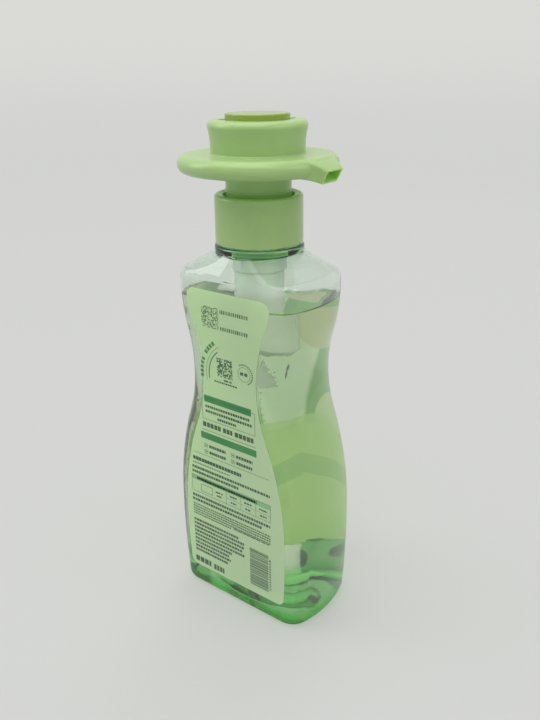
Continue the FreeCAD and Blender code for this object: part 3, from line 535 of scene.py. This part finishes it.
# each field of the front label: centre across and up, radius, soft edge, colour, strength
frontFields = [
    ((154.6, 88), 163, 3.0, "96B884", 1.0),
    ((5, 150), 20.5, 2.0, "E2D6C0", 1.0),
    ((9, 147), 9, 7.0, "CFBFA8", 0.6),
    ((0, 249), 99, 1.0, "96B884", 1.0),
    ((0, 10), 74, 1.5, "CBDBA2", 1.0),
    ((11, 91), 12.5, 1.0, "E2E2C8", 0.9),
    ((-1, 70), 20, 1.2, "CCDDA6", 0.8),
]


def makeFrontFilm():
    material, tree, shader, where, tone = labelMaterial("frontFilm")
    flat = addNode(tree, "VectorMath", operation="MULTIPLY")
    feed(tree, flat.inputs[0], where)
    flat.inputs[1].default_value = (1, 0, 1)
    spot = flat.outputs[0]
    # painted light: near-white ground for the light through the film from behind
    colour = groundColour(tree, where, frontLook)

    def field(centre, radius, softness):
        return useGroup(
            tree, roundField, Vector=spot, Centre=(centre[0] * mm, 0, centre[1] * mm),
            Radius=radius * mm, Softness=softness * mm,
        ).outputs[0]

    centre, edge = frontLook["ribbonCentre"], frontLook["ribbonEdge"]
    outer = field(centre, frontLook["ribbonOuter"], edge)
    inner = field(centre, frontLook["ribbonInner"], edge)
    for centre, radius, softness, code, strength in frontFields:
        mask = calc(tree, "MULTIPLY", field(centre, radius, softness), strength)
        colour = blendColours(tree, mask, colour, paint(code))
    ribbon = calc(tree, "SUBTRACT", outer, inner)
    colour = blendColours(tree, ribbon, colour, paint(frontLook["ribbon"]))
    mottle(tree, shader, tone, colour, frontLook)
    return material


makeLabel("back_label", "backLabel", -1, makeBackFilm())
makeLabel("front_label", "frontLabel", 1, makeFrontFilm())
print("label films on")


# print
# plain bars, dots and rings stand for the words, codes and pictures; sizes in mm

printLook = dict(
    inks=dict(dark="35503A", green="2E8344", fine="5C7459", pale="86BC86"),
    worn="9CC892", wornShare=0.15, peel=900.0, roughness=0.35, roughSwing=0.1,
    face=-23.855,            # the middle of the ink, at the film's outer face
    thick=0.03, hair=0.18, dotFill=0.92, seed=7,
    badge=(2.8, 125), seal=(8.9, 129.1),   # middles of the two round marks
)
chance = random.Random(printLook["seed"])

# height of a line, least and greatest width of its words, gap between them
textStyles = dict(
    plain=(0.8, (1.0, 3.4), 0.5), web=(0.7, (1.0, 3.4), 0.5), caption=(0.8, (0.6, 1.2), 0.3),
    digits=(1.7, (0.35, 0.7), 0.5), seal=(1.5, (1.6, 1.9), 0.5), note=(1.3, (0.8, 1.3), 0.3),
    slogan=(2.4, (1.7, 2.1), 0.35), choice=(1.5, (0.8, 1.4), 0.25),
    title=(1.9, (1.4, 1.8), 0.25), spelling=(0.6, (0.5, 0.9), 0.35),
    body=(1.45, (0.9, 1.5), 0.35), heading=(1.5, (1.0, 1.6), 0.3), cell=(0.9, (0.9, 1.6), 0.3),
    remark=(0.6, (1.2, 3.0), 0.4), address=(1.4, (0.9, 1.6), 0.35),
    amountWord=(3.2, (2.3, 2.7), 0.5), amount=(3.2, (1.3, 1.6), 0.45),
    directions=(0.85, (0.6, 1.4), 0.3),
)


def addBar(bm, left, right, low, high):
    size = (right - left, printLook["thick"], high - low)
    middle = ((left + right) / 2, printLook["face"], (low + high) / 2)
    place = Matrix.LocRotScale(Vector(middle) * mm, None, Vector(size) * mm)
    bmesh.ops.create_cube(bm, size=1, matrix=place)


def addWords(bm, style, left, right, middle):
    tall, word, gap = textStyles[style]
    across = left
    while across < right - 0.4:
        wide = min(chance.uniform(*word), right - across)
        addBar(bm, across, across + wide, middle - tall / 2, middle + tall / 2)
        across += wide + gap * chance.uniform(0.8, 1.3)


def addFrame(bm, left, right, low, high, line=printLook["hair"]):
    addBar(bm, left, right, low, low + line)
    addBar(bm, left, right, high - line, high)
    addBar(bm, left, left + line, low + line, high - line)
    addBar(bm, right - line, right, low + line, high - line)


def addDots(bm, left, low, wide, count, fill):
    step = wide / count
    dot = step * printLook["dotFill"]
    for column in range(count):
        for row in range(count):
            if chance.random() < fill:
                x, z = left + column * step, low + row * step
                addBar(bm, x, x + dot, z, z + dot)


def addArcMarks(bm, centre, radius, fromTurn, toTurn, count, wide, tall):
    for index in range(count):
        turn = math.radians(fromTurn + (toTurn - fromTurn) * index / (count - 1))
        x = centre[0] + radius * math.cos(turn)
        z = centre[1] + radius * math.sin(turn)
        place = Matrix.Translation(Vector((x, printLook["face"], z)) * mm)
        tilt = Matrix.Rotation(math.pi / 2 - turn, 4, "Y")
        size = Matrix.Diagonal((wide * mm, printLook["thick"] * mm, tall * mm, 1))
        bmesh.ops.create_cube(bm, size=1, matrix=place @ tilt @ size)


def finishPrint(bm, name, ink):
    material, tree, shader, out, where = newMaterial("ink" + ink.capitalize())
    grain = useGroup(tree, mouldGrain, Vector=where, Peel=printLook["peel"])
    worn = calc(tree, "MULTIPLY", grain.outputs["Tone"], printLook["wornShare"])
    feed(tree, shader.inputs["Base Color"],
         blendColours(tree, worn, paint(printLook["inks"][ink]), paint(printLook["worn"])))
    feed(tree, shader.inputs["Roughness"],
         calc(tree, "MULTIPLY_ADD", grain.outputs["Height"], printLook["roughSwing"],
              printLook["roughness"]))
    finishPiece(bm, name, "bottle", material)


def addBatchCode(bm):
    for middle in (155.5, 147.8):
        addWords(bm, "digits", -3.8, 12.2, middle)


def addSeals(bm):
    badge, seal = printLook["badge"], printLook["seal"]
    addArcMarks(bm, badge, 16.0, 122, 192, 60, 0.45, 0.16)
    addArcMarks(bm, badge, 14.3, 130, 188, 20, 0.7, 0.5)
    addDots(bm, -6.8, 124.7, 9.0, 18, 0.55)
    addArcMarks(bm, seal, 4.6, 120, -60, 16, 0.55, 0.7)
    addArcMarks(bm, seal, 3.4, 0, 350, 44, 0.5, 0.16)
    addWords(bm, "seal", 6.7, 11.1, 129.2)
    addWords(bm, "web", -3.0, 1.6, 123.3)
    addWords(bm, "caption", -8.6, 4.6, 121.8)


def addClaims(bm):
    addFrame(bm, -17.0, 14.4, 100.5, 111.6)
    for left, right, middle in ((-14.9, 11.2, 107.5), (-14.9, 13.0, 105.0), (-7.8, 3.4, 102.4)):
        addWords(bm, "note", left, right, middle)
    for left, right in ((-17.0, -6.0), (-4.6, 1.0), (2.4, 14.0)):
        addWords(bm, "slogan", left, right, 97.7)
    addBar(bm, -17.7, 14.6, 94.6, 94.8)
    for left, right in ((-16.8, -3.6), (-0.2, 12.5)):
        for middle in (86.2, 82.8):
            addFrame(bm, left, left + 2.0, middle - 1.0, middle + 1.0)
            addBar(bm, left + 0.6, left + 1.5, middle - 0.25, middle + 0.25)
            addWords(bm, "choice", left + 3.0, right, middle)


def addTable(bm):
    addFrame(bm, -26.4, 22.5, 57.7, 67.1)
    addWords(bm, "heading", -23.0, 14.5, 65.7)
    for across in (-4.4, 4.6, 13.7):
        addBar(bm, across, across + 0.16, 57.9, 64.4)
    addBar(bm, -4.4, 22.4, 61.1, 61.24)
    addFrame(bm, -20.5, -13.0, 59.0, 63.2, 0.22)
    addWords(bm, "plain", -11.0, -6.6, 61.9)
    addWords(bm, "plain", -10.4, -7.2, 60.0)
    for left, right in ((-2.0, 2.3), (6.9, 11.3), (15.8, 20.6)):
        addWords(bm, "cell", left, right, 62.8)
        addWords(bm, "cell", left + 0.4, right - 0.4, 59.5)


def addAddresses(bm):
    addWords(bm, "remark", -0.3, 22.2, 44.9)
    middle = 40.6
    for right in (2.6, 6.0, 6.0, 4.8, 6.0, -2.0, -4.0, -3.0, -5.0):
        addWords(bm, "address", -26.4, right, middle)
        middle -= 2.3
    addWords(bm, "amountWord", -26.8, -16.4, 16.4)
    addWords(bm, "amount", -14.4, -7.6, 16.0)


def makeDarkPrint():
    bm = bmesh.new()
    addBatchCode(bm)
    addSeals(bm)
    addClaims(bm)
    addBar(bm, -23.8, 21.8, 80.4, 80.58)
    addWords(bm, "title", -24.8, 5.5, 77.0)
    addWords(bm, "spelling", -25.1, -1.5, 74.4)
    addWords(bm, "body", -25.7, 22.2, 71.8)
    addWords(bm, "body", -25.8, 3.7, 69.2)
    addTable(bm)
    addWords(bm, "body", -26.4, 22.2, 55.3)
    addWords(bm, "body", -26.6, 17.6, 52.8)
    addAddresses(bm)
    finishPrint(bm, "backPrintDark", "dark")


def makeGreenPrint():
    bm = bmesh.new()
    addArcMarks(bm, printLook["badge"], 18.6, 128, 147, 4, 1.5, 1.9)
    addArcMarks(bm, printLook["badge"], 18.6, 160, 186, 5, 1.4, 1.9)
    addBar(bm, -15.5, 12.3, 109.7, 113.2)
    addBar(bm, -18.6, 14.9, 89.8, 93.3)
    finishPrint(bm, "backPrintGreen", "green")


def makeFinePrint():
    bm = bmesh.new()
    addDots(bm, -14.6, 147.0, 9.8, 20, 0.5)
    for middle in (50.0, 48.6, 47.2, 45.8):
        addWords(bm, "directions", -26.4, 22.2, middle)
    addWords(bm, "directions", -26.4, -2.0, 44.4)
    across = 17.0
    while across < 38.3:
        tall = chance.choice((0.25, 0.25, 0.4, 0.6, 0.8))
        addBar(bm, 9.5, 20.7, across, across + tall)
        across += tall + chance.choice((0.25, 0.3, 0.45))
    addWords(bm, "plain", 21.2, 22.2, 36.0)
    for step in range(12):
        addBar(bm, 21.3, 22.3, 18.6 + step * 1.5, 19.4 + step * 1.5)
    finishPrint(bm, "backPrintFine", "fine")


def makePalePrint():
    bm = bmesh.new()
    addBar(bm, -26.2, 22.3, 64.5, 66.9)
    finishPrint(bm, "backPrintPale", "pale")


makeDarkPrint()
makeGreenPrint()
makeFinePrint()
makePalePrint()
print("print laid on the back label")


# stage

stageLook = dict(
    floorReach=1.5, cove=0.5, coveSteps=8, wallTop=1.5, turnSteps=96,
    paper="C2C3C0", roughness=0.9, specular=0.1,
    shade="D5D6D3", wallShade="DEDEDB", shadeFoot=20, shadeTop=350,   # painted backdrop light, lighter up the wall; heights in mm
    evenness=0.93,
    contact=0.2, contactSoft=0.16, contactEvenness=0.4,   # more shadow near the bottle
    airTint=(0.98, 0.98, 1.0, 1), airStrength=0.7,
)


def makeStage():
    bm = bmesh.new()
    reach, cove, steps = stageLook["floorReach"], stageLook["cove"], stageLook["coveSteps"]
    profile = [(0, 0), (reach, 0)]
    for step in range(1, steps + 1):
        turn = math.radians(90 * step / steps)
        profile.append((reach + cove * math.sin(turn), cove * (1 - math.cos(turn))))
    profile.append((reach + cove, stageLook["wallTop"]))
    verts = [bm.verts.new((x, 0, z)) for x, z in profile]
    edges = [bm.edges.new(pair) for pair in zip(verts, verts[1:])]
    bmesh.ops.spin(bm, geom=verts + edges, cent=(0, 0, 0), axis=(0, 0, 1), angle=math.tau,
                   steps=stageLook["turnSteps"], use_merge=True)
    bmesh.ops.remove_doubles(bm, verts=bm.verts, dist=weld * 10)
    mesh = bpy.data.meshes.new("stageBowl")
    for face in bm.faces:
        face.smooth = True
    bm.to_mesh(mesh)
    bm.free()
    bowl = bpy.data.objects.new("stageBowl", mesh)
    bpy.context.scene.collection.objects.link(bowl)
    material, tree, shader, out, where = newMaterial("stagePaper")
    setPlain(shader, {
        "Base Color": paint(stageLook["paper"]),
        "Roughness": stageLook["roughness"],
        "Specular IOR Level": stageLook["specular"],
    })
    # painted light: the backdrop's glow for camera, glossy and transmission rays is lighter up the
    # wall
    upper = heightShare(tree, where, stageLook["shadeFoot"], stageLook["shadeTop"])
    shade = blendColours(tree, upper, paint(stageLook["shade"]), paint(stageLook["wallShade"]))
    even = addNode(tree, "Emission", {"Strength": 1.0, "Color": shade})
    path = addNode(tree, "LightPath")
    bent = calc(tree, "MAXIMUM", path.outputs["Is Glossy Ray"],
                path.outputs["Is Transmission Ray"])
    seen = calc(tree, "MAXIMUM", path.outputs["Is Camera Ray"], bent)
    near = useGroup(tree, roundField, Vector=where, Radius=stageLook["contact"],
                    Softness=stageLook["contactSoft"])
    share = addNode(tree, "MapRange", {
        "Value": near.outputs[0], "To Min": stageLook["evenness"],
        "To Max": stageLook["contactEvenness"],
    })
    mix = addNode(tree, "MixShader")
    feed(tree, mix.inputs[0], calc(tree, "MULTIPLY", seen, share.outputs[0]))
    feed(tree, mix.inputs[1], shader.outputs[0])
    feed(tree, mix.inputs[2], even.outputs[0])
    feed(tree, out.inputs["Surface"], mix.outputs[0])
    mesh.materials.append(material)


makeStage()

# places and sizes in metres; aim is a height over the origin; spread is a narrower beam's angle
lamps = {
    "overheadLamp": dict(at=(-0.15, -0.15, 1.25), aim=0.1, size=(1.1, 1.1), watts=5),
    "windowLamp": dict(at=(-0.95, -0.55, 0.75), aim=0.15, size=(0.5, 0.9), watts=3.4),
    "sideLamp": dict(at=(1.0, 0.1, 0.7), aim=0.12, size=(0.6, 0.6), watts=2),
    "backLamp": dict(at=(-0.85, 1.15, 0.85), aim=0.15, size=(1.3, 0.8), watts=2, glints=False),
    "filmLamp": dict(at=(-0.35, 1.3, 0.3), aim=0.1, size=(0.8, 0.5), watts=1.15, spread=60,
                     glints=False),
    "keyLamp": dict(at=(0.35, -0.6, 1.2), aim=0.2, size=(0.9, 0.4), watts=3.4),
    "frontLamp": dict(at=(0.75, -1.2, 0.4), aim=0.2, size=(0.9, 0.12), watts=0.6),
}
for name, lamp in lamps.items():
    light = bpy.data.lights.new(name, "AREA")
    light.shape = "RECTANGLE"
    light.size, light.size_y = lamp["size"]
    light.energy = lamp["watts"]
    light.spread = math.radians(lamp.get("spread", 180))
    holder = bpy.data.objects.new(name, light)
    holder.location = lamp["at"]
    away = Vector(lamp["at"]) - Vector((0, 0, lamp["aim"]))
    holder.rotation_euler = away.to_track_quat("Z", "Y").to_euler()
    holder.visible_camera = False
    holder.visible_transmission = False
    holder.visible_glossy = lamp.get("glints", True)
    bpy.context.scene.collection.objects.link(holder)

world = bpy.data.worlds.new("softRoom")
world.use_nodes = True
setPlain(world.node_tree.nodes["Background"], {
    "Color": stageLook["airTint"], "Strength": stageLook["airStrength"],
})
bpy.context.scene.world = world
print("stage lit")


# camera

view = dict(at=(0.1926, -0.2447, 0.2547), heading=37.482, tilt=67.533, roll=-0.697,
            lens=36.0, sensor=36.0, nearest=0.01)
camera = bpy.data.cameras.new("mainCamera")
camera.lens = view["lens"]
camera.sensor_width = view["sensor"]
camera.clip_start = view["nearest"]
eye = bpy.data.objects.new("mainCamera", camera)
turn = (Matrix.Rotation(math.radians(view["heading"]), 4, "Z")
        @ Matrix.Rotation(math.radians(view["tilt"]), 4, "X")
        @ Matrix.Rotation(math.radians(view["roll"]), 4, "Z"))
eye.matrix_world = Matrix.Translation(view["at"]) @ turn
bpy.context.scene.collection.objects.link(eye)
bpy.context.scene.camera = eye
bpy.context.scene.view_settings.view_transform = "Standard"

print("camera set")
